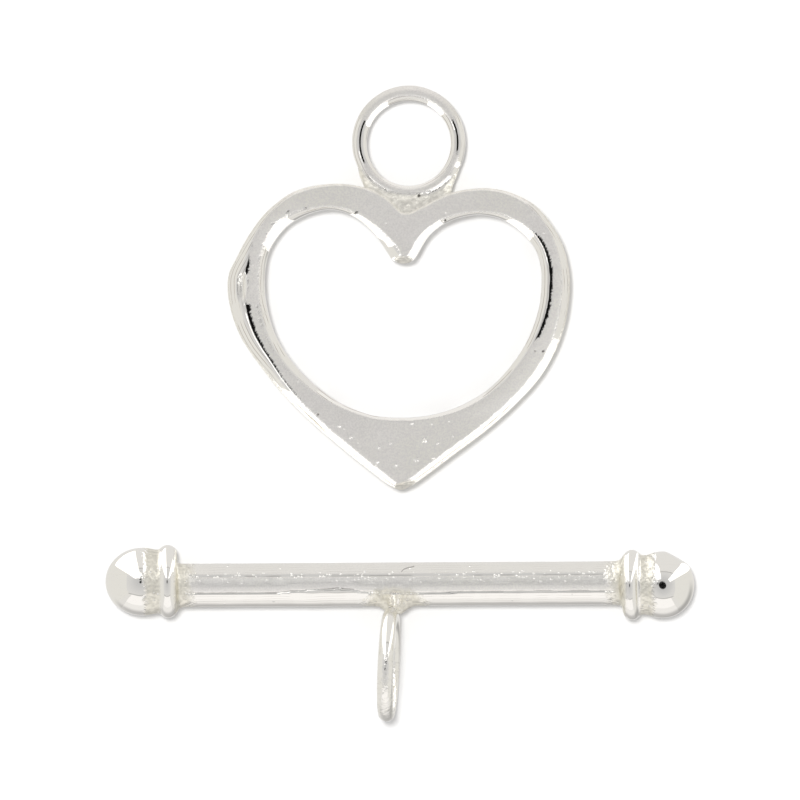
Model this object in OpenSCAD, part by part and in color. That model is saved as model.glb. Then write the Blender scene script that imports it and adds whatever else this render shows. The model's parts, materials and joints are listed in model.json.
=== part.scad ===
// Toggle clasp in cast silver: an open heart with a soldered hanging loop, and a bar with ball
// ends that passes through the heart and lies across it. Both halves lie on a surface at z = 0,
// the heart above (+Y) and the bar below it, as they lie before they are strung.
// Millimetres. The origin is at the middle of the pair's footprint, on the surface.

/* [Heart] */
// Width of the heart across both lobes
heart_w = 14; // [12.5:0.1:16]
// Height of the heart from its lobes to its tip
heart_h = 12.5; // [11.5:0.1:14]
// Thickness of the heart from its flat back to its face
heart_t = 1.5; // [1.3:0.05:1.8]

/* [Loops] */
// Outer diameter of both hanging loops
loop_d = 4.65; // [4.3:0.05:5]
// Thickness of the wire of both loops
loop_wire = 0.66; // [0.55:0.01:0.75]

/* [Bar] */
// Length of the bar over its ball ends
bar_l = 24; // [22:0.5:28]
// Diameter of the bar between its collars
bar_d = 1.77; // [1.6:0.01:1.9]
// Diameter of the collar inside each ball
collar_d = 2.96; // [2.8:0.01:3.2]
// Thickness of the round wire of each collar
collar_wire = 0.74; // [0.6:0.01:0.9]
// Diameter of the ball at each end
ball_d = 2.75; // [2.5:0.01:2.8]

/* [Layout] */
// Free space between the heart's tip and the bar
pair_gap = 2.95; // [2:0.05:6]
// Turn of the whole bar on the surface
bar_turn = 0.33; // [-1:0.01:1]
// Lean of the bar's loop to one side, about the upright
loop_lean = 3.5; // [0:0.1:5]
// Twist of the bar's loop about its own length
loop_twist = 3.8; // [0:0.1:5]

/* [Hidden] */
silver = [0.86, 0.85, 0.82];

// The heart's sections, clockwise from the cleft between the lobes, in a heart of 14 by 12.5. The
// table's origin is inside the heart, 3.53 below the bottom of the cleft and 7.76 above the tip.
// [outer x, outer y, inner x, inner y, outer bevel, inner bevel], bevels measured in from an edge.
TABLE_W = 14;
TABLE_H = 12.5;
HEART_SECTIONS = [
  [0.06, 3.52, 0.08, 1.47, 0.10, 0.34], // cleft
  [0.29, 3.54, 0.39, 1.58, 0.10, 0.36],
  [0.53, 3.65, 0.62, 1.88, 0.10, 0.38],
  [0.86, 3.81, 0.84, 2.27, 0.10, 0.38],
  [1.34, 4.07, 1.16, 2.70, 0.10, 0.31],
  [2.00, 4.36, 1.69, 3.10, 0.12, 0.25],
  [2.73, 4.51, 2.40, 3.38, 0.13, 0.18],
  [3.55, 4.54, 3.22, 3.47, 0.14, 0.15], // top of the right lobe
  [4.44, 4.35, 4.07, 3.27, 0.18, 0.24],
  [5.34, 3.87, 4.81, 2.77, 0.24, 0.34],
  [6.07, 3.04, 5.34, 2.16, 0.27, 0.34],
  [6.58, 2.06, 5.60, 1.47, 0.36, 0.33],
  [6.81, 0.82, 5.66, 0.69, 0.41, 0.33], // right side
  [6.70, -0.61, 5.54, -0.37, 0.41, 0.32],
  [6.28, -1.96, 5.13, -1.55, 0.38, 0.28],
  [5.58, -3.18, 4.44, -2.65, 0.37, 0.27],
  [4.56, -4.30, 3.50, -3.63, 0.34, 0.26],
  [3.34, -5.38, 2.40, -4.30, 0.34, 0.23],
  [1.92, -6.44, 1.34, -4.66, 0.36, 0.18],
  [0.90, -7.21, 0.49, -4.79, 0.36, 0.16],
  [0.31, -7.61, 0.12, -4.81, 0.32, 0.16],
  [-0.08, -7.76, -0.08, -4.81, 0.24, 0.16], // tip
  [-0.45, -7.63, -0.29, -4.81, 0.30, 0.16],
  [-1.02, -7.24, -0.65, -4.79, 0.34, 0.16],
  [-2.16, -6.34, -1.43, -4.67, 0.34, 0.16],
  [-3.59, -5.13, -2.57, -4.20, 0.35, 0.20],
  [-4.81, -3.95, -3.63, -3.44, 0.38, 0.32],
  [-5.87, -2.63, -4.56, -2.47, 0.49, 0.36],
  [-6.64, -1.47, -5.20, -1.43, 0.58, 0.36],
  [-7.07, -0.20, -5.56, -0.20, 0.68, 0.32],
  [-7.13, 0.90, -5.64, 0.86, 0.70, 0.30], // left side
  [-6.76, 1.77, -5.52, 1.79, 0.50, 0.34],
  [-6.23, 2.71, -5.18, 2.47, 0.27, 0.42],
  [-5.50, 3.63, -4.65, 3.06, 0.20, 0.42],
  [-4.44, 4.40, -3.91, 3.48, 0.18, 0.26],
  [-3.14, 4.71, -3.06, 3.68, 0.14, 0.15], // top of the left lobe
  [-2.00, 4.67, -2.32, 3.55, 0.12, 0.17],
  [-1.18, 4.42, -1.67, 3.16, 0.11, 0.25],
  [-0.61, 4.08, -1.10, 2.61, 0.10, 0.36],
  [-0.24, 3.71, -0.71, 2.06, 0.10, 0.48],
  [-0.08, 3.57, -0.45, 1.65, 0.10, 0.52],
  [0.00, 3.53, -0.20, 1.51, 0.10, 0.42],
];
SPLINE_STEPS = 3; // stations from one section of the table to the next
BEVEL_STEPS = 4; // facets of each rounded bevel
back_bevel = 0.14; // of the heart's flat back
crown = 0.03; // rise of the face at its middle
tip_y = -7.76 * heart_h / TABLE_H;
cleft_y = 3.53 * heart_h / TABLE_H;

// Both loops: round wire with a narrow land worn along the inside.
land_depth = 0.03;
loop_r = (loop_d - loop_wire) / 2; // to the middle of the wire

// The heart's loop stands on the cleft, a little to the right of the tip.
heart_loop_x = 0.24;
heart_loop_rise = 2.90; // from the bottom of the cleft to the middle of the loop
heart_loop_y = cleft_y + heart_loop_rise;
solder_t = 0.44; // thickness of the solder that joins each loop on
solder_sink = 0.3; // how far the solder reaches into the heart below the cleft

// The bar's ends: [side, shift across the bar, collar diameter, ball diameter, tilt of the
// collar], both diameters as a share of the nominal ones. The ends are soldered on a little
// out of line.
CAPS = [
  [-1, 0.15, 1.01, 1.00, 0],
  [1, -0.06, 0.97, 0.98, 3],
];
collar_inset = 2.55; // from the end of the ball to the middle of the collar
bar_z = collar_d / 2 * (CAPS[0][2] + CAPS[1][2]) / 2;

// The bar's loop rests on the surface too, so it rises from the bar at this angle.
bar_loop_x = -0.26;
solder_gap = 0.17; // between the bar and its loop, filled with solder
bar_loop_reach = bar_d / 2 + solder_gap + loop_d / 2;
bar_loop_rise = asin((loop_d / 2 - bar_z) / bar_loop_reach);

// The pair lies with the middle of its footprint at the origin.
heart_x = 0.12; // the heart lies this far to the right of the bar's middle
heart_loop_top = heart_loop_y + loop_d / 2;
bar_y = tip_y - pair_gap - bar_d / 2;
bar_loop_bottom = bar_y - bar_loop_reach * cos(bar_loop_rise) - loop_d / 2;
pair_mid = (heart_loop_top + bar_loop_bottom) / 2;
heart_at = [heart_x, -pair_mid, 0];
bar_at = [0, bar_y - pair_mid, bar_z];

// A row of the sections table between rows b and c, at t from 0 to 1, on a smooth curve.
function between(a, b, c, d, t) =
  0.5 * (2 * b + (c - a) * t + (2 * a - 5 * b + 4 * c - d) * t * t
         + (3 * b - a - 3 * c + d) * t * t * t);

function section(i) =
  let (n = len(HEART_SECTIONS), k = floor(i / SPLINE_STEPS), t = i / SPLINE_STEPS - k)
  between(HEART_SECTIONS[(k + n - 1) % n], HEART_SECTIONS[k % n],
          HEART_SECTIONS[(k + 1) % n], HEART_SECTIONS[(k + 2) % n], t);

// The depth of a bevel that is this wide.
function bevel_depth(width) = 0.12 + 0.9 * width;

// One edge of the section, from the back up to the face: [distance in from the edge, height].
function edge_profile(width) = [
  [back_bevel, 0],
  [0, back_bevel],
  for (k = [0:BEVEL_STEPS]) let (a = 90 * k / BEVEL_STEPS, depth = bevel_depth(width))
    [width * (1 - cos(a)), heart_t - depth * (1 - sin(a))],
];

// The points of one section in space, from its outer edge over the face to its inner edge.
function section_points(row) =
  let (
    outer = [row[0] * heart_w / TABLE_W, row[1] * heart_h / TABLE_H],
    inner = [row[2] * heart_w / TABLE_W, row[3] * heart_h / TABLE_H],
    width = norm(inner - outer),
    inward = (inner - outer) / width,
    outer_edge = edge_profile(row[4]),
    inner_edge = edge_profile(row[5]),
    count = len(outer_edge)
  ) [
    for (p = outer_edge) [each outer + inward * p[0], p[1]],
    [each outer + inward * (width + row[4] - row[5]) / 2, heart_t + crown],
    for (k = [count - 1:-1:0]) [each inner - inward * inner_edge[k][0], inner_edge[k][1]],
  ];

module heart_frame() {
  stations = SPLINE_STEPS * len(HEART_SECTIONS);
  around = [for (i = [0:stations - 1]) section_points(section(i))];
  m = len(around[0]);
  points = [for (ring = around, p = ring) p];
  faces = [
    for (i = [0:stations - 1], j = [0:m - 1])
      let (
        a = i * m + j,
        b = i * m + (j + 1) % m,
        c = (i + 1) % stations * m + (j + 1) % m,
        d = (i + 1) % stations * m + j
      ) each [[a, c, b], [a, d, c]],
  ];
  polyhedron(points, faces);
}

// A loop in the XY plane: round wire, flattened by land_depth along the inside.
module wire_loop() {
  rotate_extrude($fn = 96)
    translate([loop_r, 0])
      intersection() {
        circle(d = loop_wire, $fn = 48);
        translate([land_depth - loop_wire / 2, -loop_wire / 2]) square(loop_wire);
      }
}

// Solder between the heart's loop and the cleft, clear of the loop's bore. It leaves the loop at
// its shoulders, narrows to a waist and spreads again where it meets the lobes.
module cleft_solder() {
  shoulder = loop_d * [0.47, -0.17];
  waist = loop_d * [0.42, -0.33];
  foot = loop_d * [0.43, -0.45];
  right = [foot, waist, shoulder];
  linear_extrude(solder_t, center = true)
    difference() {
      polygon([
        [0, -heart_loop_rise - solder_sink],
        each right,
        for (k = [len(right) - 1:-1:0]) [-right[k][0], right[k][1]],
      ]);
      circle(r = loop_r, $fn = 96);
    }
}

// Solder between the bar and its loop, along -Y from the bar's middle: it spreads along the bar.
module bar_solder() {
  spread = 1.05; // radius of the hollow curve on each side
  near = bar_d / 2 * 0.55;
  far = bar_d / 2 + solder_gap + loop_wire * 0.75;
  linear_extrude(solder_t, center = true)
    difference() {
      translate([-spread - loop_wire / 2, -far]) square([2 * spread + loop_wire, far - near]);
      for (side = [-1, 1])
        translate([side * (spread + loop_wire / 2), -far]) circle(r = spread * 0.72, $fn = 64);
    }
}

// One end of the bar, along +X from the middle of its collar.
module cap(collar, ball, tilt) {
  rotate([0, 90, -tilt])
    rotate_extrude($fn = 96)
      translate([(collar - collar_wire) / 2, 0]) circle(d = collar_wire, $fn = 48);
  rotate([0, 90, 0]) {
    translate([0, 0, -collar_wire * 0.62])
      cylinder(r1 = bar_d / 2 * 0.98, r2 = collar * 0.42, h = collar_wire * 0.8, $fn = 96);
    cylinder(d = ball * 0.93, h = collar_inset - ball * 0.55, $fn = 96);
    translate([0, 0, collar_inset - ball / 2]) sphere(d = ball, $fn = 96);
  }
}

module heart_ring() {
  color(silver) {
    translate(heart_at) {
      heart_frame();
      translate([heart_loop_x, heart_loop_y, heart_t / 2]) {
        wire_loop();
        cleft_solder();
      }
    }
  }
}

module toggle_bar() {
  color(silver) {
    translate(bar_at) rotate([0, 0, bar_turn]) {
      rotate([0, 90, 0]) cylinder(d = bar_d, h = bar_l - 2 * collar_inset, center = true, $fn = 96);
      for (end = CAPS)
        translate([end[0] * (bar_l / 2 - collar_inset), end[1], collar_d * end[2] / 2 - bar_z])
          mirror([end[0] < 0 ? 1 : 0, 0, 0])
            cap(collar_d * end[2], ball_d * end[3], end[4]);
      translate([bar_loop_x, 0, 0]) rotate([-bar_loop_rise, 0, -loop_lean - bar_turn]) {
        bar_solder();
        translate([0, -bar_loop_reach, 0]) rotate([0, 90 - loop_twist, 0]) wire_loop();
      }
    }
  }
}

heart_ring();
toggle_bar();
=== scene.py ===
"""Dresses a silver toggle clasp: a cast heart with its hanging loop, and a bar with ball ends.

Each half is one closed skin over a field of signed distances, so cast forms, wire and solder
flow into each other as metal does. The fields are worked out in millimetres.
"""
import json
import math

import bpy
import numpy as np
from mathutils import Matrix, Vector


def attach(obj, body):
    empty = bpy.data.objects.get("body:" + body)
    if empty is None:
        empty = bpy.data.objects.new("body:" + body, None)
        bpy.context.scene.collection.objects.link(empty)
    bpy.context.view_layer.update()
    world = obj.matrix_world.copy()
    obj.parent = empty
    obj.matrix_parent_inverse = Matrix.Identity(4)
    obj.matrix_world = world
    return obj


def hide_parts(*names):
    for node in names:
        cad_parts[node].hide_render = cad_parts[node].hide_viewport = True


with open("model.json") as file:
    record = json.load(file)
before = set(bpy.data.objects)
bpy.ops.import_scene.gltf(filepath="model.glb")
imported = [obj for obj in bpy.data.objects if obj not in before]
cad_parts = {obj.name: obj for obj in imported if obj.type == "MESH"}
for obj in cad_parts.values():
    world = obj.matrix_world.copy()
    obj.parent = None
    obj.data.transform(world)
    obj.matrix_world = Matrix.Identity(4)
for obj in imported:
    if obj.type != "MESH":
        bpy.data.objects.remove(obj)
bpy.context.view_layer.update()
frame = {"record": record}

MM = 0.001

# Mesh
PITCH = 0.058  # of the grid that each skin is drawn on
BLOCK = 4  # grid points along each side of the blocks that are sorted out first
NEAR_BLOCKS = 1.2  # a block is sampled point by point when the surface is as near as this many
RELAX_ROUNDS = 4
LONGEST_STEP = 0.6  # of the pitch, that a point moves in one round
GRADIENT_REACH = 0.008

# Heart
HEART_T = 1.5
BACK_ROUND = 0.14
BEVEL_DEPTH = (0.12, 0.9)  # a bevel reaches this far down, plus this much of its width
FACE_LEAN = 0.085  # slope of the face, down towards +X
LEAN_WIDTH = 1.2  # of the sloping part of the face
CREST_R = 4.2  # of the rounded crest that the face slopes down from
CLEFT_TO_LOOP = (0.24, 2.90)
CLEFT_Y = 3.53
# [outer x, outer y, inner x, inner y, outer bevel, inner bevel], clockwise from the cleft
HEART_SECTIONS = [
    (0.06, 3.52, 0.08, 1.47, 0.10, 0.34),
    (0.29, 3.54, 0.39, 1.58, 0.10, 0.36),
    (0.53, 3.65, 0.62, 1.88, 0.10, 0.38),
    (0.86, 3.81, 0.84, 2.27, 0.10, 0.38),
    (1.34, 4.07, 1.16, 2.70, 0.10, 0.31),
    (2.00, 4.36, 1.69, 3.10, 0.12, 0.25),
    (2.73, 4.51, 2.40, 3.38, 0.13, 0.18),
    (3.55, 4.54, 3.22, 3.47, 0.14, 0.15),
    (4.44, 4.35, 4.07, 3.27, 0.18, 0.24),
    (5.34, 3.87, 4.81, 2.77, 0.24, 0.34),
    (6.07, 3.04, 5.34, 2.16, 0.27, 0.34),
    (6.58, 2.06, 5.60, 1.47, 0.36, 0.33),
    (6.81, 0.82, 5.66, 0.69, 0.41, 0.33),
    (6.70, -0.61, 5.54, -0.37, 0.41, 0.32),
    (6.28, -1.96, 5.13, -1.55, 0.38, 0.28),
    (5.58, -3.18, 4.44, -2.65, 0.37, 0.27),
    (4.56, -4.30, 3.50, -3.63, 0.34, 0.26),
    (3.34, -5.38, 2.40, -4.30, 0.34, 0.23),
    (1.92, -6.44, 1.34, -4.66, 0.36, 0.18),
    (0.90, -7.21, 0.49, -4.79, 0.36, 0.16),
    (0.31, -7.61, 0.12, -4.81, 0.32, 0.16),
    (-0.08, -7.76, -0.08, -4.81, 0.24, 0.16),
    (-0.45, -7.63, -0.29, -4.81, 0.30, 0.16),
    (-1.02, -7.24, -0.65, -4.79, 0.34, 0.16),
    (-2.16, -6.34, -1.43, -4.67, 0.34, 0.16),
    (-3.59, -5.13, -2.57, -4.20, 0.35, 0.20),
    (-4.81, -3.95, -3.63, -3.44, 0.38, 0.32),
    (-5.87, -2.63, -4.56, -2.47, 0.49, 0.36),
    (-6.64, -1.47, -5.20, -1.43, 0.58, 0.36),
    (-7.07, -0.20, -5.56, -0.20, 0.68, 0.32),
    (-7.13, 0.90, -5.64, 0.86, 0.70, 0.30),
    (-6.76, 1.77, -5.52, 1.79, 0.50, 0.34),
    (-6.23, 2.71, -5.18, 2.47, 0.27, 0.42),
    (-5.50, 3.63, -4.65, 3.06, 0.20, 0.42),
    (-4.44, 4.40, -3.91, 3.48, 0.18, 0.26),
    (-3.14, 4.71, -3.06, 3.68, 0.14, 0.15),
    (-2.00, 4.67, -2.32, 3.55, 0.12, 0.17),
    (-1.18, 4.42, -1.67, 3.16, 0.11, 0.25),
    (-0.61, 4.08, -1.10, 2.61, 0.10, 0.36),
    (-0.24, 3.71, -0.71, 2.06, 0.10, 0.48),
    (-0.08, 3.57, -0.45, 1.65, 0.10, 0.52),
    (0.00, 3.53, -0.20, 1.51, 0.10, 0.42),
]
CURVE_STEPS = 24
COARSE = 8  # one point of a curve in this many is tried first for the nearest

# Loops, both of round wire
LOOP_D = 4.65
WIRE = 0.66
LOOP_R = (LOOP_D - WIRE) / 2
LOOP_WEAR = 0.010

# Bar
BAR_D = 1.77
COLLAR_D = 2.96
COLLAR_SIZES = (1.01, 0.97)  # of the left and right collar, as shares of COLLAR_D
BAR_AXIS_Z = COLLAR_D / 2 * sum(COLLAR_SIZES) / 2  # the bar lies on its collars
SHAFT_SKEW = 0.05  # the shaft isn't quite round: its crown leans towards +Y
BAR_TURN = math.radians(0.33)
BAR_LOOP_X = -0.26
BAR_LOOP_REACH = 3.38
BAR_LOOP_LEAN = math.radians(3.5)
BAR_LOOP_TWIST = math.radians(3.8)

# Grooves and scratches, which the material darkens with painted shade where their distance is small
NO_LINE = 1  # the distance where there is none
PAST_END = 41  # past its end, the distance from one is made this many times as large


def mount_at(name):
    """The place of one of the frame's mounts, in millimetres."""
    mount = next(m for m in frame["record"]["mounts"] if m["name"] == name)
    return np.array(mount["pos_m"]) / MM


HEART_LOOP_AT = mount_at("heart_loop")
BAR_LOOP_AT = mount_at("bar_loop")
HEART_AT = HEART_LOOP_AT - (CLEFT_TO_LOOP[0], CLEFT_TO_LOOP[1] + CLEFT_Y, HEART_T / 2)


# Signed distances

def smooth_union(a, b, blend):
    """The nearer of two distances, with the crease between the solids filled over blend."""
    h = np.clip(0.5 + 0.5 * (b - a) / blend, 0, 1)
    return b + (a - b) * h - blend * h * (1 - h)


def smooth_overlap(a, b, blend):
    """What two solids share, with the edge between them rounded over blend."""
    return -smooth_union(-a, -b, blend)


def smooth_cut(a, b, blend):
    """Solid a without solid b, with the new edge rounded over blend."""
    return -smooth_union(-a, b, blend)


def smooth_step(low, high, value):
    """0 up to low and 1 from high on, or the other way round where low is the larger one."""
    t = np.clip((value - low) / (high - low), 0, 1)
    return t * t * (3 - 2 * t)


def span(value, starts, full, fades, ends):
    """1 from full to fades, and 0 before starts and after ends."""
    return smooth_step(starts, full, value) * smooth_step(ends, fades, value)


def along(table, value):
    """What a table of [place, number] gives at value, in straight lines from row to row."""
    return np.interp(value, *zip(*table))


def ball(p, centre, radius):
    """Distance to a ball."""
    return np.sqrt(sum((a - c) ** 2 for a, c in zip(p, centre))) - radius


def ellipsoid(p, centre, radii):
    """Close to the true distance near its surface."""
    q = [(a - c) / r for a, c, r in zip(p, centre, radii)]
    size = np.sqrt(sum(a * a for a in q))
    slope = np.sqrt(sum((a / r) ** 2 for a, r in zip(q, radii)))
    return size * (size - 1) / np.maximum(slope, 1e-6)


def ring(p, radius, wire):
    """Round wire bent round the third axis."""
    return np.hypot(np.hypot(p[0], p[1]) - radius, p[2]) - wire / 2


def rod(p, radius, start, end, blend=0.1):
    """A rod along the first axis with rounded ends."""
    side = np.hypot(p[1], p[2]) - radius
    cap = np.maximum(start - p[0], p[0] - end)
    return -smooth_union(-side, -cap, blend)


def moved(p, offset, rotation=None):
    """Points in the frame of a solid that stands at offset, turned by rotation."""
    q = [a - c for a, c in zip(p, offset)]
    if rotation is None:
        return q
    return [sum(rotation[k][i] * q[k] for k in range(3)) for i in range(3)]


def unevenness(p, seed, longest, shortest, waves=9):
    """Smooth noise from -1 to 1 with features between two sizes."""
    rng = np.random.RandomState(seed)
    total = 0
    for _ in range(waves):
        direction = rng.normal(size=3)
        direction /= np.linalg.norm(direction)
        length = math.exp(rng.uniform(math.log(shortest), math.log(longest)))
        k = direction * 2 * math.pi / length
        total = total + np.sin(k[0] * p[0] + k[1] * p[1] + k[2] * p[2] + rng.uniform(0, 2 * math.pi))
    return total / waves


def waves_of(p, table):
    """The waves that casting left: rows of [height, seed, longest, shortest]."""
    return sum(height * unevenness(p, *sizes) for height, *sizes in table)


class Outline:
    """A closed clockwise curve in the plane, with values carried along it."""

    CHUNK = 16384

    def __init__(self, points, values):
        self.points, self.values = points, values
        self.along = np.roll(points, -1, 0) - points
        self.length2 = (self.along ** 2).sum(1)
        side = np.stack([-self.along[:, 1], self.along[:, 0]], 1) / np.sqrt(self.length2)[:, None]
        corner = side + np.roll(side, 1, 0)
        self.normals = corner / np.linalg.norm(corner, axis=1)[:, None]

    def nearest(self, p):
        """The number of the curve's point nearest to each p."""
        few = self.points[::COARSE]
        square = (few ** 2).sum(1)
        start = np.empty(len(p), int)
        for i in range(0, len(p), self.CHUNK):
            part = p[i:i + self.CHUNK]
            start[i:i + self.CHUNK] = (square - 2 * part @ few.T).argmin(1) * COARSE
        best, near = np.full(len(p), np.inf), start
        for shift in range(-COARSE, COARSE + 1):
            i = (start + shift) % len(self.points)
            gap = ((p - self.points[i]) ** 2).sum(1)
            near = np.where(gap < best, i, near)
            best = np.minimum(gap, best)
        return near

    def measure(self, p, near, reach=1):
        """Signed distances, positive outside, and the values at the nearest places."""
        count = len(self.points)
        best, chosen, place = np.full(len(p), np.inf), near, np.zeros(len(p))
        for shift in range(-reach, reach):
            i = (near + shift) % count
            gap = p - self.points[i]
            t = np.clip((gap * self.along[i]).sum(1) / self.length2[i], 0, 1)
            distance = ((gap - t[:, None] * self.along[i]) ** 2).sum(1)
            closer = distance < best
            best = np.where(closer, distance, best)
            chosen, place = np.where(closer, i, chosen), np.where(closer, t, place)
        t, after = place[:, None], (chosen + 1) % count
        gap = p - self.points[chosen] - t * self.along[chosen]
        normal = (1 - t) * self.normals[chosen] + t * self.normals[after]
        values = (1 - t) * self.values[chosen] + t * self.values[after]
        return np.sqrt(best) * np.sign((gap * normal).sum(1)), values


def between(a, b, c, d, t):
    """A smooth curve from b to c."""
    return 0.5 * (2 * b + (c - a) * t + (2 * a - 5 * b + 4 * c - d) * t ** 2
                  + (3 * b - a - 3 * c + d) * t ** 3)


def heart_outlines():
    """The heart's outer and inner outline, each with its bevel and the way across the section."""
    rows = np.array(HEART_SECTIONS)
    t = (np.arange(CURVE_STEPS) / CURVE_STEPS)[:, None, None]
    a, c, d = (np.roll(rows, n, 0) for n in (1, -1, -2))
    rows = between(a, rows, c, d, t).transpose(1, 0, 2).reshape(-1, 6)
    across = rows[:, 2:4] - rows[:, :2]
    across /= np.linalg.norm(across, axis=1)[:, None]
    outer = Outline(rows[:, :2], np.column_stack([rows[:, 4], across[:, 0]]))
    inner = Outline(rows[:, 2:4], np.column_stack([rows[:, 5], across[:, 0]]))
    return outer, inner


OUTER, INNER = heart_outlines()


def rounded_wall(inward, height, bevel, top):
    """Distance to a wall with an elliptical bevel at its top and a small round at its foot."""
    depth = BEVEL_DEPTH[0] + BEVEL_DEPTH[1] * bevel
    u = np.maximum((bevel - inward) / bevel, 0)
    v = np.maximum((height - top + depth) / depth, 0)
    size = np.sqrt(u * u + v * v)
    slope = np.sqrt((u / bevel) ** 2 + (v / depth) ** 2) / np.maximum(size, 1e-6)
    corner = (size - 1) / np.maximum(slope, 1e-6)
    upper = np.where((u > 0) & (v > 0), corner, np.maximum(-inward, height - top))
    u, v = np.maximum(BACK_ROUND - inward, 0), np.maximum(BACK_ROUND - height, 0)
    foot = np.where((u > 0) & (v > 0), np.hypot(u, v) - BACK_ROUND, np.maximum(-inward, -height))
    return np.maximum(upper, foot)


class Heart:
    """The heart, its loop and the solder between them, round the heart's own origin."""

    LOW = (-7.4, -8.0, -0.15)
    HIGH = (7.1, 9.05, 1.75)
    WAVES = [(0.008, 3, 4.0, 1.0), (0.003, 4, 0.9, 0.35)]
    WAVES_RISE = 0.3  # the waves fade out towards the flat back, from this height down
    # How far sideways a section of the heart runs, from 0 to 1, where its face starts to lean and
    # where it leans in full
    LEANING = (0.35, 0.9)
    # The hollow in the left side's face, and how far its finish reaches
    DENT = (-6.60, 0.53, HEART_T + 0.01)
    DENT_RADII = (0.17, 0.55, 0.15)
    DENT_FINISH = (0.15, 0.5)

    # The loop: how much its top and its inside are worn, and the inside's middle
    LOOP = (CLEFT_TO_LOOP[0], CLEFT_Y + CLEFT_TO_LOOP[1], HEART_T / 2)
    LOOP_TOP_WEAR = 0.016
    LOOP_INSIDE = 1.715
    LOOP_INSIDE_Y = -0.06

    # The sheet of solder, from the loop's middle. Its sides: [way out, x, y, slope, scale]
    SOLDER_T = 0.62
    SOLDER_SIDES = [(-1, -2.10, -1.146, -0.40, 0.93), (1, 2.03, -1.02, 0.30, 0.96)]
    SOLDER_TOP = -1.1
    SOLDER_UNDER_HEART = 0.3

    # How far polishing has rubbed the left side's face, from its bevel inwards: [y, width]
    RUBBED = [(-4.5, 0.04), (-3.9, 0.10), (-2.8, 0.13), (-1.5, 0.16), (-0.6, 0.20), (-0.22, 0.24),
              (-0.10, 0.06), (0.15, 0.06), (0.35, 0.18), (1.4, 0.18), (1.9, 0.06)]
    # Where along y each side is rubbed, and how far the right one is
    RUBBED_LEFT = (-4.5, -4.0, 2.1, 2.5)
    RUBBED_RIGHT = (-1.9, -1.4, 2.5, 3.0)
    RUBBED_RIGHT_WIDTH = 0.17
    # How far satin reaches over the start of the outer and of the inner bevel
    OVER_OUTER, OVER_INNER = 0.06, 0.05

    # Where round the loop it is satin, in degrees
    CROWN = (24, 32, 150, 157)
    FOOT = (-157, -150, -17, -10)
    # How far past the middle of the loop's wire frost begins: [x, distance]
    FROST_EDGE = [(-0.9, 0.16), (-0.5, 0.10), (0.3, 0.10), (0.8, 0.24)]

    # Pits and pimples of the casting, on the face and its edges: [x, y, height, radius]
    PITS = [(-1.90, 3.56, 1.42, 0.05), (1.72, 3.24, 1.42, 0.05), (0.65, 4.25, 1.06, 0.06),
            (-3.46, -4.68, 1.5, 0.035), (5.38, -2.09, 1.47, 0.03), (5.71, -2.09, 1.4, 0.03)]
    PIT_LENGTH, PIT_DEPTH = 1.3, 0.06
    PIMPLES = [(-2.11, -5.60, 1.5, 0.06), (0.88, -5.74, 1.5, 0.09), (-1.06, -6.62, 1.5, 0.06),
               (-0.28, -6.74, 1.5, 0.05), (0.57, -6.53, 1.5, 0.06), (1.23, -6.45, 1.5, 0.05),
               (1.43, -5.84, 1.5, 0.05), (-0.97, -6.00, 1.5, 0.05), (-0.48, -5.84, 1.5, 0.05),
               (0.37, -5.03, 1.5, 0.05), (-2.60, -5.15, 1.5, 0.06)]
    # Blunt facets at the tip and at the end of the cleft: [way it faces, a point of its upper edge]
    FACETS = [((0.24, -0.83, 0.50), (0.05, -7.45, 1.5)), ((-0.04, -0.86, 0.50), (0.13, 1.74, 1.5))]
    FACET_REACH = 0.7

    def near(self, p):
        """The nearest points of the two outlines, to be used again for places close to p."""
        flat = np.column_stack(p[:2])
        return OUTER.nearest(flat), INNER.nearest(flat)

    def plan(self, p, near):
        """What depends on x and y alone."""
        flat = np.column_stack(p[:2])
        outside, outer_values = OUTER.measure(flat, near[0], 2)
        metal, inner_values = INNER.measure(flat, near[1], 2)
        return {
            "outer": -outside,
            "inner": metal,
            "outer_bevel": outer_values[:, 0],
            "inner_bevel": inner_values[:, 0],
            "across": outer_values[:, 1],
        }

    @staticmethod
    def drop(s):
        """How far the face lies below its crest, a distance s away."""
        rounded = FACE_LEAN * CREST_R
        curved = np.clip(s, 0, rounded)
        return curved ** 2 / (2 * CREST_R) + FACE_LEAN * np.clip(s - rounded, 0, LEAN_WIDTH)

    def frame_distance(self, z, plan):
        """Distance to the heart without its loop, solder and small marks."""
        left = smooth_step(*self.LEANING, plan["across"])
        right = smooth_step(*self.LEANING, -plan["across"])
        top = HEART_T - left * self.drop(plan["outer"] - plan["outer_bevel"])
        top = top - right * self.drop(plan["inner"] - plan["inner_bevel"])
        walls = [rounded_wall(plan[edge], z, plan[edge + "_bevel"], top) for edge in ("outer", "inner")]
        return np.maximum(*walls)

    def facet(self, p, way, at):
        """Distance beyond a facet's plane, for places close to it."""
        beyond = sum(a * (b - c) for a, b, c in zip(way, p, at))
        return np.where(np.hypot(p[0] - at[0], p[1] - at[1]) < self.FACET_REACH, beyond, -1)

    def loop_distance(self, p):
        """Distance to the loop, a ring of wire worn flat on top and inside."""
        x, y, z = moved(p, self.LOOP)
        loop = ring((x, y, z), LOOP_R, WIRE) + LOOP_WEAR
        loop = smooth_overlap(loop, z - WIRE / 2 + self.LOOP_TOP_WEAR, blend=0.02)
        return smooth_overlap(loop, self.LOOP_INSIDE - np.hypot(x, y - self.LOOP_INSIDE_Y), blend=0.05)

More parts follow.
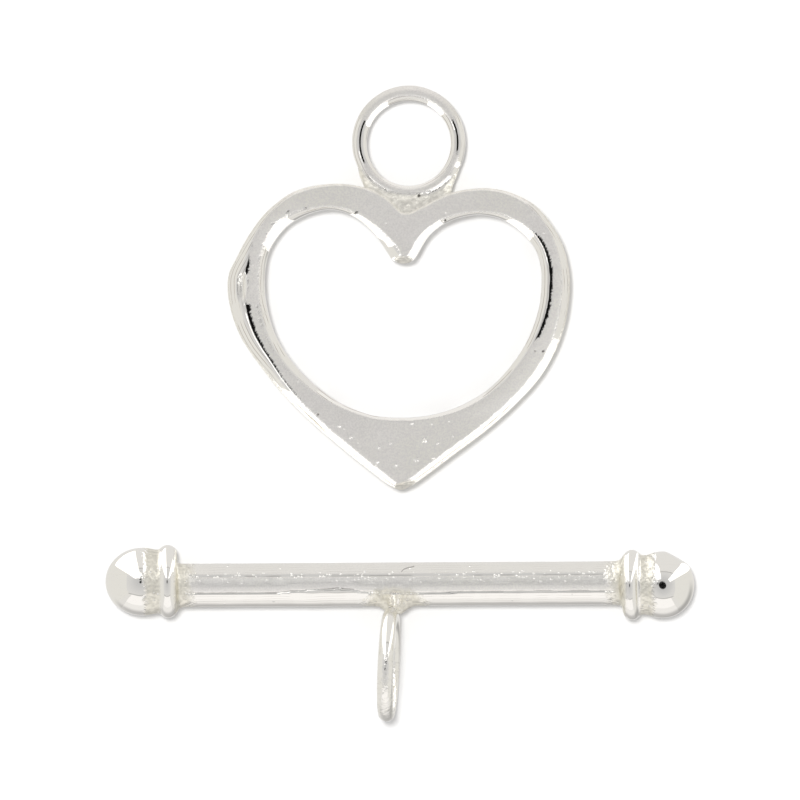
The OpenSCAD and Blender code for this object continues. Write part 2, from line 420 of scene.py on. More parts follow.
    def solder_distance(self, p, plan):
        """A sheet of solder from the loop down into the cleft, thinner than the wire."""
        x, y, z = moved(p, self.LOOP)
        rough = 0.006 * unevenness(p, seed=21, longest=0.8, shortest=0.3, waves=14)
        sheet = np.abs(z) - self.SOLDER_T / 2 + rough
        for way, side_x, side_y, slope, scale in self.SOLDER_SIDES:
            side = way * (x - side_x - slope * (y - side_y)) * scale
            sheet = smooth_overlap(sheet, side, blend=0.4)
        sheet = smooth_overlap(sheet, y - self.SOLDER_TOP, blend=0.4)
        return np.maximum.reduce((sheet, LOOP_R - np.hypot(x, y), plan["outer"] - self.SOLDER_UNDER_HEART))

    def distance(self, p, near=None):
        """Signed distance to the whole solid."""
        plan = self.plan(p, near or self.near(p))
        body = self.frame_distance(p[2], plan)
        for way, at in self.FACETS:
            body = smooth_overlap(body, self.facet(p, way, at), blend=0.03)
        body = smooth_cut(body, ellipsoid(p, self.DENT, self.DENT_RADII), blend=0.12)
        joint = smooth_union(self.loop_distance(p), self.solder_distance(p, plan), blend=0.20)
        d = smooth_union(body, joint, blend=0.07)
        for x, y, height, radius in self.PITS:
            radii = (self.PIT_LENGTH * radius, radius, self.PIT_DEPTH)
            d = smooth_cut(d, ellipsoid(p, (x, y, height), radii), blend=0.02)
        for x, y, height, radius in self.PIMPLES:
            d = smooth_union(d, ball(p, (x, y, height - 0.4 * radius), radius), blend=0.04)
        return d + waves_of(p, self.WAVES) * np.clip(p[2] / self.WAVES_RISE, 0, 1)

    def satin_face(self, p, plan, ragged):
        """How satin the face is: where polishing hasn't reached it from its edges."""
        x, y, z = p
        rubbed_left = span(y, *self.RUBBED_LEFT) * (x < -3) * along(self.RUBBED, y)
        rubbed_right = span(y, *self.RUBBED_RIGHT) * (x > 3) * self.RUBBED_RIGHT_WIDTH
        from_outer = plan["outer"] - plan["outer_bevel"] + self.OVER_OUTER - rubbed_left
        from_inner = plan["inner"] - plan["inner_bevel"] + self.OVER_INNER - rubbed_right
        # On the left the satin fades out more slowly towards the inner edge
        slowly = smooth_step(-3, -4, x) * smooth_step(-3.5, -2.5, y)
        from_inner = from_inner / (1 + 3 * slowly)
        face = smooth_step(-0.02, 0.02, np.minimum(from_outer, from_inner) + ragged)
        return face * smooth_step(HEART_T - 0.35, HEART_T - 0.2, z)

    def loop_finish(self, p, on_loop, ragged):
        """How satin and how frosted the loop and its solder are, and how far from the wire's middle."""
        x, y, _ = moved(p, self.LOOP)
        away = np.hypot(x, y) - LOOP_R
        below = smooth_step(-0.75, -1.25, y + 1.5 * ragged)
        edge = along(self.FROST_EDGE, x)
        frost = on_loop * below * smooth_step(edge - 0.02, edge + 0.12, away + 0.3 * ragged)
        azimuth = np.degrees(np.arctan2(y, x)) + 60 * ragged
        outer_side = smooth_step(-0.15, -0.05, away + 0.5 * ragged)
        middle = smooth_step(0.16, 0.06, np.abs(away) + 0.3 * ragged)
        satin = np.maximum(outer_side * span(azimuth, *self.CROWN), middle * span(azimuth, *self.FOOT))
        return on_loop * satin, frost, away

    def finishes(self, p):
        """How satin, frosted, gritty and lined each point is, and how dark painted shade makes its pits,
        from 0 to 1.

        "across" is how far it lies across the lines that polishing left, and "groove" and
        "scratch" how far from one, in millimetres. The heart has neither.
        """
        x, y, z = p
        plan = self.plan(p, self.near(p))
        ragged = 0.10 * unevenness(p, seed=5, longest=0.7, shortest=0.10, waves=20)
        satin = self.satin_face(p, plan, ragged)
        lines = np.where(plan["inner"] < plan["outer"], 1, smooth_step(-4.2, -3.2, y)) * (1 - satin)
        on_loop = smooth_step(0.10, -0.02, plan["outer"])
        loop_satin, frost, away = self.loop_finish(p, on_loop, ragged)
        satin = np.maximum(satin, loop_satin)
        across = np.where(on_loop > 0.5, away, np.minimum(plan["outer"], plan["inner"]))
        for way, at in self.FACETS:
            frost = np.maximum(frost, 0.8 * smooth_step(-0.04, -0.015, self.facet(p, way, at)))
        off = [(a - b) / c for a, b, c in zip((x, y), self.DENT, self.DENT_FINISH)]
        dent = smooth_step(1.3, 0.8, np.hypot(*off))
        frost = np.maximum(frost, 0.3 * dent)
        dark = 0
        # Each pit is darkened with painted shade
        for spot_x, spot_y, _, radius in self.PITS:
            spot = smooth_step(1.4 * radius, 0.7 * radius, np.hypot(x - spot_x, y - spot_y))
            dark = np.maximum(dark, spot)
        for spot_x, spot_y, _, radius in self.PIMPLES:
            clear = smooth_step(radius, 1.5 * radius, np.hypot(x - spot_x, y - spot_y))
            satin, frost = satin * clear, frost * clear
        grit = (0.02 + 0.06 * smooth_step(-4.5, -5.5, y)) * satin + 0.10 * frost
        return {"satin": satin * (1 - dent), "frost": frost, "grit": grit, "dark": dark * (z > 0.8),
                "lines": lines * (1 - frost), "across": across, "groove": NO_LINE, "scratch": NO_LINE}


class Bar:
    """The bar with its ends, loop and solder, along the first axis, round its own middle."""

    LOW = (-12.15, -5.8, -1.65)
    HIGH = (12.15, 1.85, 3.35)
    WAVES = [(0.008, 11, 5.0, 1.2), (0.003, 12, 1.0, 0.4)]
    # Larger waves along one stretch of the shaft's front, and the middle of that stretch
    DENTS = (0.020, 13, 2.6, 1.0)
    DENTS_X = -3.4
    SHAFT_HALF = 9.6

    # Each end: its collar's middle and shift across the bar, radii, how wide solder fills the corner
    # inside the collar, and how far out it has run
    LEFT = {"x": -9.46, "y": 0.165, "collar": 1.49, "wire": 0.375, "neck": 1.295, "ball": 1.383,
            "ball_x": -10.51, "ball_reach": 1.488, "tilt": 0.0, "fillet": 0.34, "solder": 0.93}
    RIGHT = {"x": 9.46, "y": -0.085, "collar": 1.43, "wire": 0.33, "neck": 1.205, "ball": 1.36,
             "ball_x": 10.70, "ball_reach": 1.30, "tilt": 7.0, "fillet": 0.40, "solder": 0.84}
    # Flat spots of the right ball: the way each faces and its distance from the ball's middle
    FLATS = [((0.133, 0.754, 0.643), 1.317), ((0.505, 0.862, 0.05), 1.25), ((0, 0, 1), 1.346)]
    FLATS_FROM_X = 9.95

    # The drop of solder at the loop's root, from the root
    MOUND = (0.12, -0.82, -0.22)
    MOUND_RADII = (0.42, 0.42, 0.36)
    MOUND_BLEND = 0.50

    # The groove that drawing left along the front of the shaft: [x, y], and the one at the back
    GROOVE = [(-8.8, -0.295), (-6.5, -0.310), (-5.0, -0.306), (-4.1, -0.216), (-3.2, -0.174),
              (-2.5, -0.133), (-2.0, -0.178), (-1.6, -0.281), (0.4, -0.345), (2.9, -0.307), (5.7, -0.294),
              (8.8, -0.308)]
    BACK_GROOVE = 0.370
    GROOVE_DEPTH, BACK_GROOVE_DEPTH = 0.045, 0.016
    # From a groove, how far its flat rises straight and how far it reaches, and its steep side
    KNEE, REACH, STEEP = 0.2, 0.3, 0.06
    # A scratch on the upper side: [x, y]
    SCRATCH = [(0.0, 0.469), (0.16, 0.62), (0.33, 0.68), (0.67, 0.746)]

    # Where solder has been at each end, by the distance out from the collar's middle
    FILLET = (-0.90, -0.50, -0.40, -0.25)
    NECK = (0.28, 0.42, 0.8, 1.0)
    # Round the loop's root: the middle and radii of where solder has been, and of where it is
    # frosted, and the middle of a spot on it that is rubbed clean
    ROOT = ((0.14, -0.72, 0), (1.1, 0.75, 1.3))
    ROOT_FROST = ((0.16, -0.84, 0), (1.25, 0.62, 1.3))
    CLEAN = (0.10, -0.72)

    def __init__(self):
        turn = -BAR_LOOP_LEAN - BAR_TURN
        rise = math.asin((LOOP_D / 2 - BAR_AXIS_Z) / BAR_LOOP_REACH)
        root = Matrix.Rotation(turn, 3, "Z") @ Matrix.Rotation(-rise, 3, "X")
        self.arm = np.array(root)
        self.loop_turn = np.array(root @ Matrix.Rotation(math.pi / 2 - BAR_LOOP_TWIST, 3, "Y"))
        self.root_at = np.array([BAR_LOOP_X, 0, 0])
        self.loop_at = self.root_at + self.arm @ np.array([0, -BAR_LOOP_REACH, 0])

    def near(self, p):
        """Nothing here is worth keeping for places close to p."""
        return None

    @staticmethod
    def end(p, cap):
        """A collar of round wire, a neck and a ball."""
        side = math.copysign(1, cap["x"])
        x, y, z = moved(p, (0, cap["y"], cap["collar"] - BAR_AXIS_Z))
        tilt = np.array(Matrix.Rotation(math.radians(-cap["tilt"]) * side, 3, "Y"))
        cx, cy, cz = moved((x, y, z), (cap["x"], 0, 0), tilt)
        inner = cap["collar"] - cap["wire"]
        collar = ring((cy, cz, cx), inner, 2 * cap["wire"])
        core = rod((cx, cy, cz), inner, -cap["wire"] * 0.6, cap["wire"] * 0.6)
        near, far = sorted((cap["x"], cap["ball_x"]))
        neck = rod((x, y, z), cap["neck"], near, far)
        radii = (cap["ball_reach"], cap["ball"], cap["ball"])
        d = smooth_union(neck, ellipsoid((x, y, z), (cap["ball_x"], 0, 0), radii), blend=0.07)
        return smooth_union(d, np.minimum(collar, core), blend=0.09)

    def flattened(self, d, p):
        """The right ball with its flat spots."""
        cap = self.RIGHT
        middle = (cap["ball_x"], cap["y"], cap["collar"] - BAR_AXIS_Z)
        for way, depth in self.FLATS:
            out = sum(a * b for a, b in zip(way, moved(p, middle)))
            d = np.where(p[0] > self.FLATS_FROM_X, smooth_cut(d, depth - out, blend=0.06), d)
        return d

    def flat(self, t):
        """From 0 to 1, the depth of a flat that rises gently from a line for t > 0, else steeply."""
        slope = 2 / (self.KNEE + self.REACH)
        curve = slope / (2 * (self.REACH - self.KNEE))
        gentle = np.where(t < self.KNEE, 1 - slope * t, curve * np.clip(self.REACH - t, 0, None) ** 2)
        return np.where(t < 0, np.clip(1 + t / self.STEEP, 0, 1), gentle)

    def drawn(self, p):
        """How deep drawing has worn the shaft between its two grooves, most of all at the front."""
        worn = self.GROOVE_DEPTH * self.flat(p[1] - along(self.GROOVE, p[0]))
        worn = worn + self.BACK_GROOVE_DEPTH * self.flat(self.BACK_GROOVE - p[1])
        return worn * smooth_step(9.0, 8.4, np.abs(p[0])) * (p[2] > 0)

    def loop_distance(self, p):
        """Distance to the loop, a ring of wire."""
        return ring(moved(p, self.loop_at, self.loop_turn), LOOP_R, WIRE) + LOOP_WEAR

    def from_root(self, p, place):
        """The distance from a place at the loop's root, as a share of that place's radii."""
        middle, radii = place
        q = moved(moved(p, self.root_at, self.arm), middle)
        return np.sqrt(sum((a / r) ** 2 for a, r in zip(q, radii)))

    def soldered(self, p):
        """Where solder has been: the inside of each end and the root of the loop."""
        found = smooth_step(1.1, 0.8, self.from_root(p, self.ROOT))
        for cap in (self.LEFT, self.RIGHT):
            out = (p[0] - cap["x"]) * math.copysign(1, cap["x"])
            found = np.maximum.reduce((found, span(out, *self.FILLET), span(out, *self.NECK)))
        return found

    def distance(self, p, near=None):
        """Signed distance to the whole solid."""
        dented = smooth_step(1.6, 0.2, np.abs(p[0] - self.DENTS_X)) * (p[1] < 0)
        wave = waves_of(p, self.WAVES) + waves_of(p, [self.DENTS]) * dented
        round_p = (p[0], p[1], p[2] - SHAFT_SKEW * p[1])
        d = rod(round_p, BAR_D / 2, -self.SHAFT_HALF, self.SHAFT_HALF)
        for cap in (self.LEFT, self.RIGHT):
            d = smooth_union(d, self.end(p, cap), cap["fillet"])
        d = self.flattened(d, p) + self.drawn(p)
        mound = ellipsoid(moved(p, self.root_at, self.arm), self.MOUND, self.MOUND_RADII)
        coarse = 0.006 * unevenness(p, seed=31, longest=0.7, shortest=0.22, waves=16)
        d = smooth_union(d, mound, self.MOUND_BLEND) + wave + coarse * self.soldered(p)
        return smooth_union(d, self.loop_distance(p), blend=0.06)

    def frosted(self, p, ragged):
        """How frosted the solder is, at both ends and the loop's root, and how stained the loop."""
        frost = np.zeros_like(p[0])
        for cap in (self.LEFT, self.RIGHT):
            out = (p[0] - cap["x"]) * math.copysign(1, cap["x"])
            end = cap["solder"]
            fillet = smooth_step(-1.2, -0.65, out + 0.5 * ragged) * smooth_step(-0.22, -0.36, out)
            neck = smooth_step(0.24, 0.36, out) * smooth_step(end + 0.10, end - 0.12, out + 0.25 * ragged)
            frost = np.maximum.reduce((frost, fillet, neck))
        q = moved(p, self.root_at, self.arm)
        from_clean = np.hypot(q[0] - self.CLEAN[0], q[1] - self.CLEAN[1])
        clean = smooth_step(0.34, 0.16, from_clean + 0.10 * ragged)
        on_wire = smooth_step(0.03, 0.01, self.loop_distance(p))
        mound = smooth_step(1.2, 0.8, self.from_root(p, self.ROOT_FROST) + 0.35 * ragged)
        mound = mound * (1 - on_wire) * (1 - 0.8 * clean)
        stain = 0.4 * on_wire * smooth_step(-2.4, -3.0, p[1]) * smooth_step(-0.2, 0.5, ragged)
        return np.maximum.reduce((frost, mound, stain))

    def finishes(self, p):
        """The same as for the heart. The shaft's lines run along it."""
        x, y, z = p
        ragged = unevenness(p, seed=15, longest=0.9, shortest=0.10, waves=22)
        angle = np.degrees(np.arctan2(y, z))
        plain = smooth_step(9.0, 8.6, np.abs(x)) * smooth_step(1.3, 1.0, np.hypot(y, z))
        across = np.radians(angle) * BAR_D / 2
        front = across - along(self.GROOVE, x) * 1.02
        strip = smooth_step(21.8, 20.6, angle + 2 * ragged) * smooth_step(-0.02, 0.06, front)
        upper = 0.3 * smooth_step(27, 31, angle)
        frost = self.frosted(p, ragged)
        grit = (0.04 + 0.65 * span(angle, 5, 14, 30, 38)) * plain + 0.25 * frost
        back = self.BACK_GROOVE - across + 0.010 * ragged
        groove = np.where(angle > 3, back, front + 0.012 * ragged)
        drawn = plain * (1 - frost)
        scratch = y - along(self.SCRATCH, x)
        there = span(x, -0.03, 0.04, 0.60, 0.70) * (z > 0)
        return {"satin": (strip + upper) * drawn, "frost": frost, "grit": grit, "dark": 0,
                "lines": 0.4 * drawn, "across": across,
                "groove": groove * (PAST_END + (1 - PAST_END) * drawn),
                "scratch": scratch * (PAST_END + (1 - PAST_END) * there)}


# Skins

CORNERS = np.array([(i, j, k) for i in (0, 1) for j in (0, 1) for k in (0, 1)])
EDGES = [(a, b) for a in range(8) for b in range(a + 1, 8) if abs(CORNERS[a] - CORNERS[b]).sum() == 1]


def net(field, low):
    """Points and quads of the surface where a sampled field is zero: one point a cell."""
    solid = field < 0
    corners = [solid[i:solid.shape[0] - 1 + i, j:solid.shape[1] - 1 + j, k:solid.shape[2] - 1 + k]
               for i, j, k in CORNERS]
    some, every = np.logical_or.reduce(corners), np.logical_and.reduce(corners)
    cells = np.argwhere(some & ~every)
    number = np.full(some.shape, -1)
    number[tuple(cells.T)] = np.arange(len(cells))
    values = np.stack([field[tuple((cells + c).T)] for c in CORNERS], 1)
    total, count = np.zeros((len(cells), 3)), np.zeros(len(cells))
    for a, b in EDGES:
        va, vb = values[:, a], values[:, b]
        crossed = (va < 0) != (vb < 0)
        t = np.where(crossed, va / np.where(crossed, va - vb, 1), 0)[:, None]
        total += np.where(crossed[:, None], CORNERS[a] + t * (CORNERS[b] - CORNERS[a]), 0)
        count += crossed
    points = (cells + total / count[:, None]) * PITCH + low
    quads = []
    for axis in range(3):
        u, v = (axis + 1) % 3, (axis + 2) % 3
        a = np.take(solid, np.arange(solid.shape[axis] - 1), axis)
        b = np.take(solid, np.arange(1, solid.shape[axis]), axis)
        at = np.argwhere(a != b)
        at = at[(at[:, u] > 0) & (at[:, v] > 0)]
        outward = a[tuple(at.T)]
        step_u, step_v = np.eye(3, dtype=int)[u], np.eye(3, dtype=int)[v]
        loop = [at - step_u - step_v, at - step_v, at, at - step_u]
        quad = np.stack([number[tuple(q.T)] for q in loop], 1)
        quads.append(np.where(outward[:, None], quad, quad[:, ::-1]))
    return points, np.concatenate(quads)


def gradient(solid, points):
    """The distance at each point and the way out of the solid, not yet of length one."""
    near = solid.near(list(points.T))
    parts = []
    for axis in range(3):
        step = np.zeros(3)
        step[axis] = GRADIENT_REACH
        ahead = solid.distance(list((points + step).T), near)
        behind = solid.distance(list((points - step).T), near)
        parts.append((ahead - behind) / (2 * GRADIENT_REACH))
    return solid.distance(list(points.T), near)[:, None], np.stack(parts, 1)


def fit(solid, points, quads):
    """Move the points onto the surface, and spread them evenly along it."""
    pairs = np.concatenate([quads[:, [i, (i + 1) % 4]] for i in range(4)])
    pairs = np.unique(np.sort(pairs, 1), axis=0)
    degree = np.bincount(pairs.ravel(), minlength=len(points))[:, None]
    for turn in range(RELAX_ROUNDS):
        off, way = gradient(solid, points)
        size2 = (way ** 2).sum(1)[:, None]
        step = -off * way / np.maximum(size2, 0.05)
        length = np.linalg.norm(step, axis=1)[:, None]
        points = points + step * np.minimum(1, LONGEST_STEP * PITCH / np.maximum(length, 1e-9))
        if turn < RELAX_ROUNDS - 1:
            mean = np.zeros_like(points)
            for a, b in ((0, 1), (1, 0)):
                for axis in range(3):
                    mean[:, axis] += np.bincount(pairs[:, a], points[pairs[:, b], axis], len(points))
            pull = mean / degree - points
            normal = way / np.sqrt(size2)
            points += 0.5 * (pull - (pull * normal).sum(1)[:, None] * normal)
    way = gradient(solid, points)[1]
    return points, way / np.linalg.norm(way, axis=1)[:, None]


def sampled(solid):
    """The field on a grid. Far from the surface only its sign counts, so a block shares one value."""
    counts = [math.ceil((b - a) / PITCH / BLOCK) for a, b in zip(solid.LOW, solid.HIGH)]
    middles = (np.indices(counts).reshape(3, -1).T * BLOCK + (BLOCK - 1) / 2) * PITCH + solid.LOW
    field = solid.distance(list(middles.T)).reshape(counts)
    for axis in range(3):
        field = np.repeat(field, BLOCK, axis)
    near = np.argwhere(np.abs(field) < NEAR_BLOCKS * BLOCK * PITCH)
    field[tuple(near.T)] = solid.distance(list((near * PITCH + solid.LOW).T))
    return field


def skin(name, solid, place):
    """A closed mesh of a solid, put where place takes its own millimetres."""
    points, quads = net(sampled(solid), np.array(solid.LOW))
    points, normals = fit(solid, points, quads)
    finishes = solid.finishes(list(points.T))
    turn = np.array(place.to_3x3())
    mesh = bpy.data.meshes.new(name)
    at = (points @ turn.T + np.array(place.translation)) * MM
    mesh.from_pydata(at.tolist(), [], quads.tolist())
    for key, values in finishes.items():
        layer = mesh.attributes.new(key, "FLOAT", "POINT")
        layer.data.foreach_set("value", np.broadcast_to(values, len(points)).astype(np.float32))
    mesh.polygons.foreach_set("use_smooth", np.ones(len(quads), bool))
    mesh.validate()
    mesh.normals_split_custom_set_from_vertices((normals @ turn.T).tolist())
    piece = bpy.data.objects.new(name, mesh)
    bpy.context.scene.collection.objects.link(piece)
    return piece


heart_place = Matrix.Translation(Vector(HEART_AT))
heart = skin("silver_heart", Heart(), heart_place)

bar_solid = Bar()
bar_turn = Matrix.Rotation(BAR_TURN, 4, "Z")
bar_middle = Vector(BAR_LOOP_AT) - bar_turn @ Vector(bar_solid.loop_at)
bar = skin("silver_bar", bar_solid, Matrix.Translation(bar_middle) @ bar_turn)


# Materials

# Colours of polished silver and of what is on it, with painted shade for cuts and pits and a painted glint
# for specks. A cut is a groove or a scratch
POLISHED = (0.955, 0.938, 0.895, 1)
FINE_LINE = (0.62, 0.57, 0.52, 1)
# Painted glint that lightens the specks beyond polished silver
SPECK_GLINT = (1.0, 0.99, 0.96, 1)
# Painted shade that darkens grooves and scratches
CUT_SHADE = (0.40, 0.385, 0.365, 1)
# Painted shade that darkens the pits nearly to black
PIT_SHADE = (0.05, 0.045, 0.04, 1)
SATIN_TINT = (0.985, 0.995, 0.955)  # of the satin's other shade, times its own colour
DARK_GRAIN, DARK_CHALK = 0.90, 0.86  # the same for the dark parts of satin and frost

POLISH = 0.05  # roughness of polished silver
FROST_ROUGH = 0.34  # roughness that frost adds
LINE_PITCH = 0.13  # mm from one fine line to the next
RELIEF = 0.00004  # m, for a relief of 1


class Nodes:
    """A short way to write a node tree."""

    def __init__(self, tree):
        self.tree = tree
        tree.nodes.clear()

    def add(self, kind, inputs=None, **settings):
        """A node, with its inputs linked to sockets or set to values."""
        node = self.tree.nodes.new(kind)
        for key, value in settings.items():
            setattr(node, key, value)
        for key, value in (inputs or {}).items():
            if isinstance(value, bpy.types.NodeSocket):
                self.tree.links.new(value, node.inputs[key])
            else:
                node.inputs[key].default_value = value
        return node

    def math(self, operation, *values):
        return self.add("ShaderNodeMath", dict(enumerate(values)), operation=operation).outputs[0]

    def ramp(self, value, low, high, start=0.0, end=1.0, smooth=True):
        """From start where the value is low to end where it is high."""
        kind = "SMOOTHSTEP" if smooth else "LINEAR"
        inputs = {0: value, 1: low, 2: high, 3: start, 4: end}
        return self.add("ShaderNodeMapRange", inputs, interpolation_type=kind).outputs[0]

    def mix(self, factor, a, b):
        return self.add("ShaderNodeMix", {0: factor, 6: a, 7: b}, data_type="RGBA").outputs[2]

    def noise(self, place, scale, detail):
        inputs = {"Vector": place, "Scale": scale, "Detail": detail}
        return self.add("ShaderNodeTexNoise", inputs).outputs["Fac"]


def times(colour, factors):
    """A colour with each part made so many times as large, as a node takes it."""
    return (*(c * f for c, f in zip(colour, factors)), 1)


def silver(name, satin_colour, satin_roughness, drawn, chalk):
    """Silver that is bright, satin or frosted, as the mesh says at each point.

    Drawn silver has its fine scratches along its length, so it blurs what it mirrors only across.
    """
    material = bpy.data.materials.new(name)
    material.use_nodes = True
    n = Nodes(material.node_tree)
    satin, frost, grit, dark, lines, across, groove, scratch = (
        n.add("ShaderNodeAttribute", attribute_name=key).outputs["Fac"]
        for key in ("satin", "frost", "grit", "dark", "lines", "across", "groove", "scratch"))

    # Textures, from the finest to the coarsest
    place = n.add("ShaderNodeTexCoord").outputs["Object"]
    grain = n.noise(place, 15000.0, 2.0)
    lumps = n.noise(place, 5000.0, 1.0)
    gaps = n.noise(place, 900.0, 2.0)
    patches = n.noise(place, 300.0, 4.0)

    # Specks: small bumps in some cells, more of them where the metal is gritty, their colour lightened to
    # a painted glint
    cells = n.add("ShaderNodeTexVoronoi", {"Vector": place, "Scale": 7000.0})
    chance = n.add("ShaderNodeSeparateColor", {0: cells.outputs["Color"]}).outputs[0]
    chosen = n.math("LESS_THAN", chance, n.math("MULTIPLY", grit, 0.5))
    specks_and_glints = n.math("MULTIPLY", n.ramp(cells.outputs["Distance"], 0.40, 0.12), chosen)

    # Fine lines that polishing left, and the grooves and scratches, darkened with painted shade
    turns = n.math("ADD", n.math("DIVIDE", across, LINE_PITCH), n.math("MULTIPLY", patches, 2.5))
    fine = n.ramp(n.math("SINE", n.math("MULTIPLY", turns, 2 * math.pi)), 0.6, 1.0)
    fine = n.math("MULTIPLY", n.math("MULTIPLY", fine, lines), n.ramp(gaps, 0.42, 0.58))
    groove = n.ramp(n.math("ABSOLUTE", groove), 0.036, 0.012)
    groove = n.math("MULTIPLY", groove, n.ramp(gaps, 0.40, 0.56, 0.08, 0.48))
    scratch = n.math("MULTIPLY", n.ramp(n.math("ABSOLUTE", scratch), 0.034, 0.010), 0.8)
    cut_shade = n.math("MAXIMUM", groove, scratch)

    # Colour
    polished = n.mix(n.math("MULTIPLY", fine, 0.8), POLISHED, FINE_LINE)
    dull = n.mix(n.ramp(patches, 0.35, 0.65), (*satin_colour, 1), times(satin_colour, SATIN_TINT))
    dark_grain = times(satin_colour, [DARK_GRAIN] * 3)
    dull = n.mix(n.ramp(grain, 0.35, 0.65, smooth=False), dull, dark_grain)
    chalky = n.mix(n.ramp(lumps, 0.4, 0.6), (*chalk, 1), times(chalk, [DARK_CHALK] * 3))
    # Grooves and scratches darkened with painted shade
    colour = n.mix(cut_shade, n.mix(satin, polished, dull), CUT_SHADE)
    colour = n.mix(frost, colour, chalky)
    # Specks lightened with a painted glint
    colour = n.mix(specks_and_glints, colour, SPECK_GLINT)
    # Pits darkened with painted shade
    colour = n.mix(dark, colour, PIT_SHADE)

    # Roughness and relief
    rough = n.math("ADD", POLISH, n.math("MULTIPLY", satin, satin_roughness))
    rough = n.math("ADD", rough, n.math("MULTIPLY", frost, FROST_ROUGH))
    relief = n.math("ADD", n.math("MULTIPLY", satin, 0.2), n.math("MULTIPLY", frost, 0.4))
    relief = n.math("MULTIPLY", grain, relief)
    relief = n.math("ADD", relief, n.math("MULTIPLY", lumps, n.math("MULTIPLY", frost, 1.4)))
    relief = n.math("ADD", relief, n.math("MULTIPLY", specks_and_glints, 0.6))
    bump = n.add("ShaderNodeBump", {"Height": relief, "Strength": 1.0, "Distance": RELIEF}).outputs[0]

    along_bar = n.add("ShaderNodeTangent", direction_type="RADIAL", axis="X").outputs[0]
    shader = n.add("ShaderNodeBsdfPrincipled", {
        "Base Color": colour, "Roughness": rough, "Metallic": 1.0, "Normal": bump,
        "Anisotropic": n.math("SUBTRACT", drawn, n.math("MULTIPLY", frost, drawn)) if drawn else 0.0,
        "Tangent": along_bar})
    n.add("ShaderNodeOutputMaterial", {"Surface": shader.outputs[0]})
    return material


CAST = silver("cast_silver", (0.925, 0.90, 0.865), 0.36, 0.0, (0.97, 0.94, 0.855))
DRAWN = silver("drawn_silver", (0.99, 0.97, 0.935), 0.26, 0.95, (0.91, 0.88, 0.785))
for piece, node, body, slot, material in (
        (heart, "heart_ring", "heart_half", "heart_silver", CAST),
        (bar, "toggle_bar", "bar_half", "bar_silver", DRAWN)):
    piece.data.materials.append(material)
    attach(piece, body)
    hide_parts(node)

heart.visible_glossy = False


# Studio: a white tent with a camera over a hole in its ceiling

FLOOR_HALF = 1.0
MEETING_Y = -0.00476  # where two sheets of paper meet, between the heart and the bar
WHITE_PAPER = (0.84, 0.84, 0.84, 1)

CEILING_SPREAD = 1.09  # half the ceiling's width over its height
CEILING_MIDDLE, CEILING_EDGE = (0.56, 0.56, 0.57, 1), (0.72, 0.715, 0.715, 1)
SIDE_WALL, END_WALL = (0.79, 0.78, 0.755, 1), (0.785, 0.775, 0.765, 1)
SEAM = (0.40, 0.39, 0.38, 1)
FLOOR_SHADOW = (0.42, 0.415, 0.41, 1)
LENS_BLACK = (0.005, 0.005, 0.005, 1)

WHITE, ROSE = (1, 1, 1), (1, 0.97, 1)
BRIGHT = 0.75  # radiance of the lamps that the silver mirrors as white bands
KEY_AWAY = 0.6
KEY_POWER = 2.2


def paper():
    """White paper without any gloss."""
    material = bpy.data.materials.new("paper")
    material.use_nodes = True
    n = Nodes(material.node_tree)
    shader = n.add("ShaderNodeBsdfDiffuse", {"Color": WHITE_PAPER})
    n.add("ShaderNodeOutputMaterial", {"Surface": shader.outputs[0]})
    return material


def sheet(name, low, high, material):
    """A sheet of the floor from one y to another. The silver mirrors the tent's floor instead."""
    mesh = bpy.data.meshes.new(name)
    corners = ((-FLOOR_HALF, low), (FLOOR_HALF, low), (FLOOR_HALF, high), (-FLOOR_HALF, high))
    mesh.from_pydata([(x, y, 0) for x, y in corners], [], [(0, 1, 2, 3)])
    mesh.materials.append(material)
    thing = bpy.data.objects.new(name, mesh)
    bpy.context.scene.collection.objects.link(thing)
    thing.visible_glossy = False
    return thing


def tent():
    """The light from all round: a grey ceiling, lighter walls, a warm floor, a lens overhead."""
    world = bpy.data.worlds.new("tent")
    bpy.context.scene.world = world
    world.use_nodes = True
    n = Nodes(world.node_tree)
    way = n.add("ShaderNodeTexCoord").outputs["Generated"]
    x, y, z = n.add("ShaderNodeSeparateXYZ", {0: way}).outputs
    ax, ay = n.math("ABSOLUTE", x), n.math("ABSOLUTE", y)
    away = n.math("SQRT", n.math("ADD", n.math("MULTIPLY", ax, ax), n.math("MULTIPLY", ay, ay)))
    height = n.math("MULTIPLY", z, CEILING_SPREAD)
    ceiling = n.ramp(n.math("SUBTRACT", height, n.math("MAXIMUM", ax, ay)), -0.01, 0.01)
    at_end = n.ramp(n.math("SUBTRACT", ay, ax), -0.05, 0.05)
    overhead = n.mix(n.ramp(away, 0.1, 0.75, smooth=False), CEILING_MIDDLE, CEILING_EDGE)
    colour = n.mix(ceiling, n.mix(at_end, SIDE_WALL, END_WALL), overhead)
    seam = n.ramp(n.math("ABSOLUTE", n.math("SUBTRACT", height, ay)), 0.0, 0.06)
    seam = n.math("MAXIMUM", seam, n.math("SUBTRACT", 1.0, at_end))
    colour = n.mix(seam, SEAM, colour)
    shadow = n.math("SUBTRACT", n.math("MULTIPLY", x, 0.4), y)
    shadow = n.math("MULTIPLY", n.ramp(shadow, 0.15, 0.6), n.ramp(z, -0.30, -0.70))
    colour = n.mix(shadow, colour, FLOOR_SHADOW)
    lens = n.math("MAXIMUM", n.ramp(away, 0.095, 0.115), n.ramp(z, 0.1, 0.0))
    colour = n.mix(lens, LENS_BLACK, colour)
    shade = n.add("ShaderNodeBackground", {"Color": colour, "Strength": 1.0})
    n.add("ShaderNodeOutputWorld", {"Surface": shade.outputs[0]})


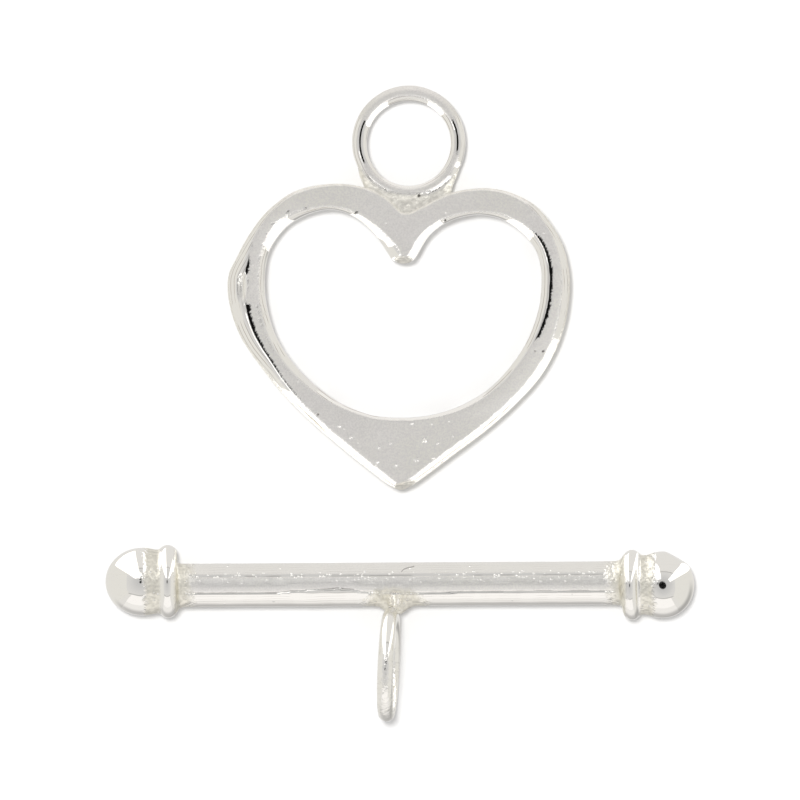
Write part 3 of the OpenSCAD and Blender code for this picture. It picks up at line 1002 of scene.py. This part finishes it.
def lamp(name, place, sizes, power, colour, thing):
    """A rectangular lamp that lights one thing alone."""
    light = bpy.data.lights.new(name, "AREA")
    light.shape = "RECTANGLE"
    light.size, light.size_y = sizes
    light.color = colour
    light.energy = power
    holder = bpy.data.objects.new(name, light)
    holder.matrix_world = place
    holder.visible_camera = False
    group = bpy.data.collections.new("lit_by_" + name)
    group.objects.link(thing)
    holder.light_linking.receiver_collection = group
    bpy.context.scene.collection.objects.link(holder)


def wall(name, facing, sides, heights, radiance, colour, thing):
    """An upright lamp 1 m away, in the direction facing, so far to each side and so high."""
    width, height = sides[1] - sides[0], heights[1] - heights[0]
    middle = Vector((sum(sides) / 2, 1, sum(heights) / 2))
    place = (Matrix.Rotation(math.radians(facing - 90), 4, "Z") @ Matrix.Translation(middle)
             @ Matrix.Rotation(math.radians(-90), 4, "X"))
    lamp(name, place, (width, height), radiance * math.pi * width * height, colour, thing)


def key_lamp(name, way, sizes, thing):
    """A small lamp high up, which makes one sheet's shadows."""
    at = Vector(way).normalized() * KEY_AWAY
    lamp(name, Matrix.LocRotScale(at, at.to_track_quat("Z", "Y"), None), sizes, KEY_POWER, WHITE, thing)


PAPER = paper()
heart_sheet = sheet("heart_sheet", MEETING_Y, FLOOR_HALF, PAPER)
bar_sheet = sheet("bar_sheet", -FLOOR_HALF, MEETING_Y, PAPER)
tent()
wall("bar_left", 90, (-1.50, -0.23), (-1.1, 4.3), BRIGHT, WHITE, bar)
wall("bar_right", 34.5, (-0.17, 0.17), (-2.5, 2.8), BRIGHT, WHITE, bar)
wall("bar_front", -90, (-0.70, 0.70), (0.0, 0.86), 0.22, ROSE, bar)
wall("bar_front_low", -90, (-0.70, 0.70), (-1.5, 0.0), 0.10, ROSE, bar)
wall("heart_right", 320, (-0.38, 0.38), (-2.5, 4.3), BRIGHT, WHITE, heart)
wall("heart_left", 231, (-0.23, 0.23), (-2.5, 4.3), BRIGHT, WHITE, heart)
wall("heart_left_high", 204, (-0.24, 0.24), (2.7, 6.0), BRIGHT, WHITE, heart)
wall("heart_front", 90, (-0.70, 0.70), (-1.5, 0.86), 0.11, ROSE, heart)
key_lamp("heart_key", (-0.76, 0.72, 6.3), (0.08, 0.08), heart_sheet)
key_lamp("bar_key", (-0.38, 0.50, 6.3), (0.05, 0.075), bar_sheet)


# Camera

PHOTO_WIDTH = 32.6 * MM  # what the photograph spans at the height of the heart's face
PHOTO_MIDDLE_Y = 0.1275 * MM
LENS, SENSOR = 500.0, 36.0
camera_data = bpy.data.cameras.new("camera")
camera_data.lens, camera_data.sensor_width = LENS, SENSOR
camera = bpy.data.objects.new("camera", camera_data)
camera.location = (0, PHOTO_MIDDLE_Y, HEART_T * MM + PHOTO_WIDTH * LENS / SENSOR)
camera_data.clip_start, camera_data.clip_end = 0.01, 5.0
bpy.context.scene.collection.objects.link(camera)
bpy.context.scene.camera = camera
bpy.context.scene.view_settings.view_transform = "Standard"
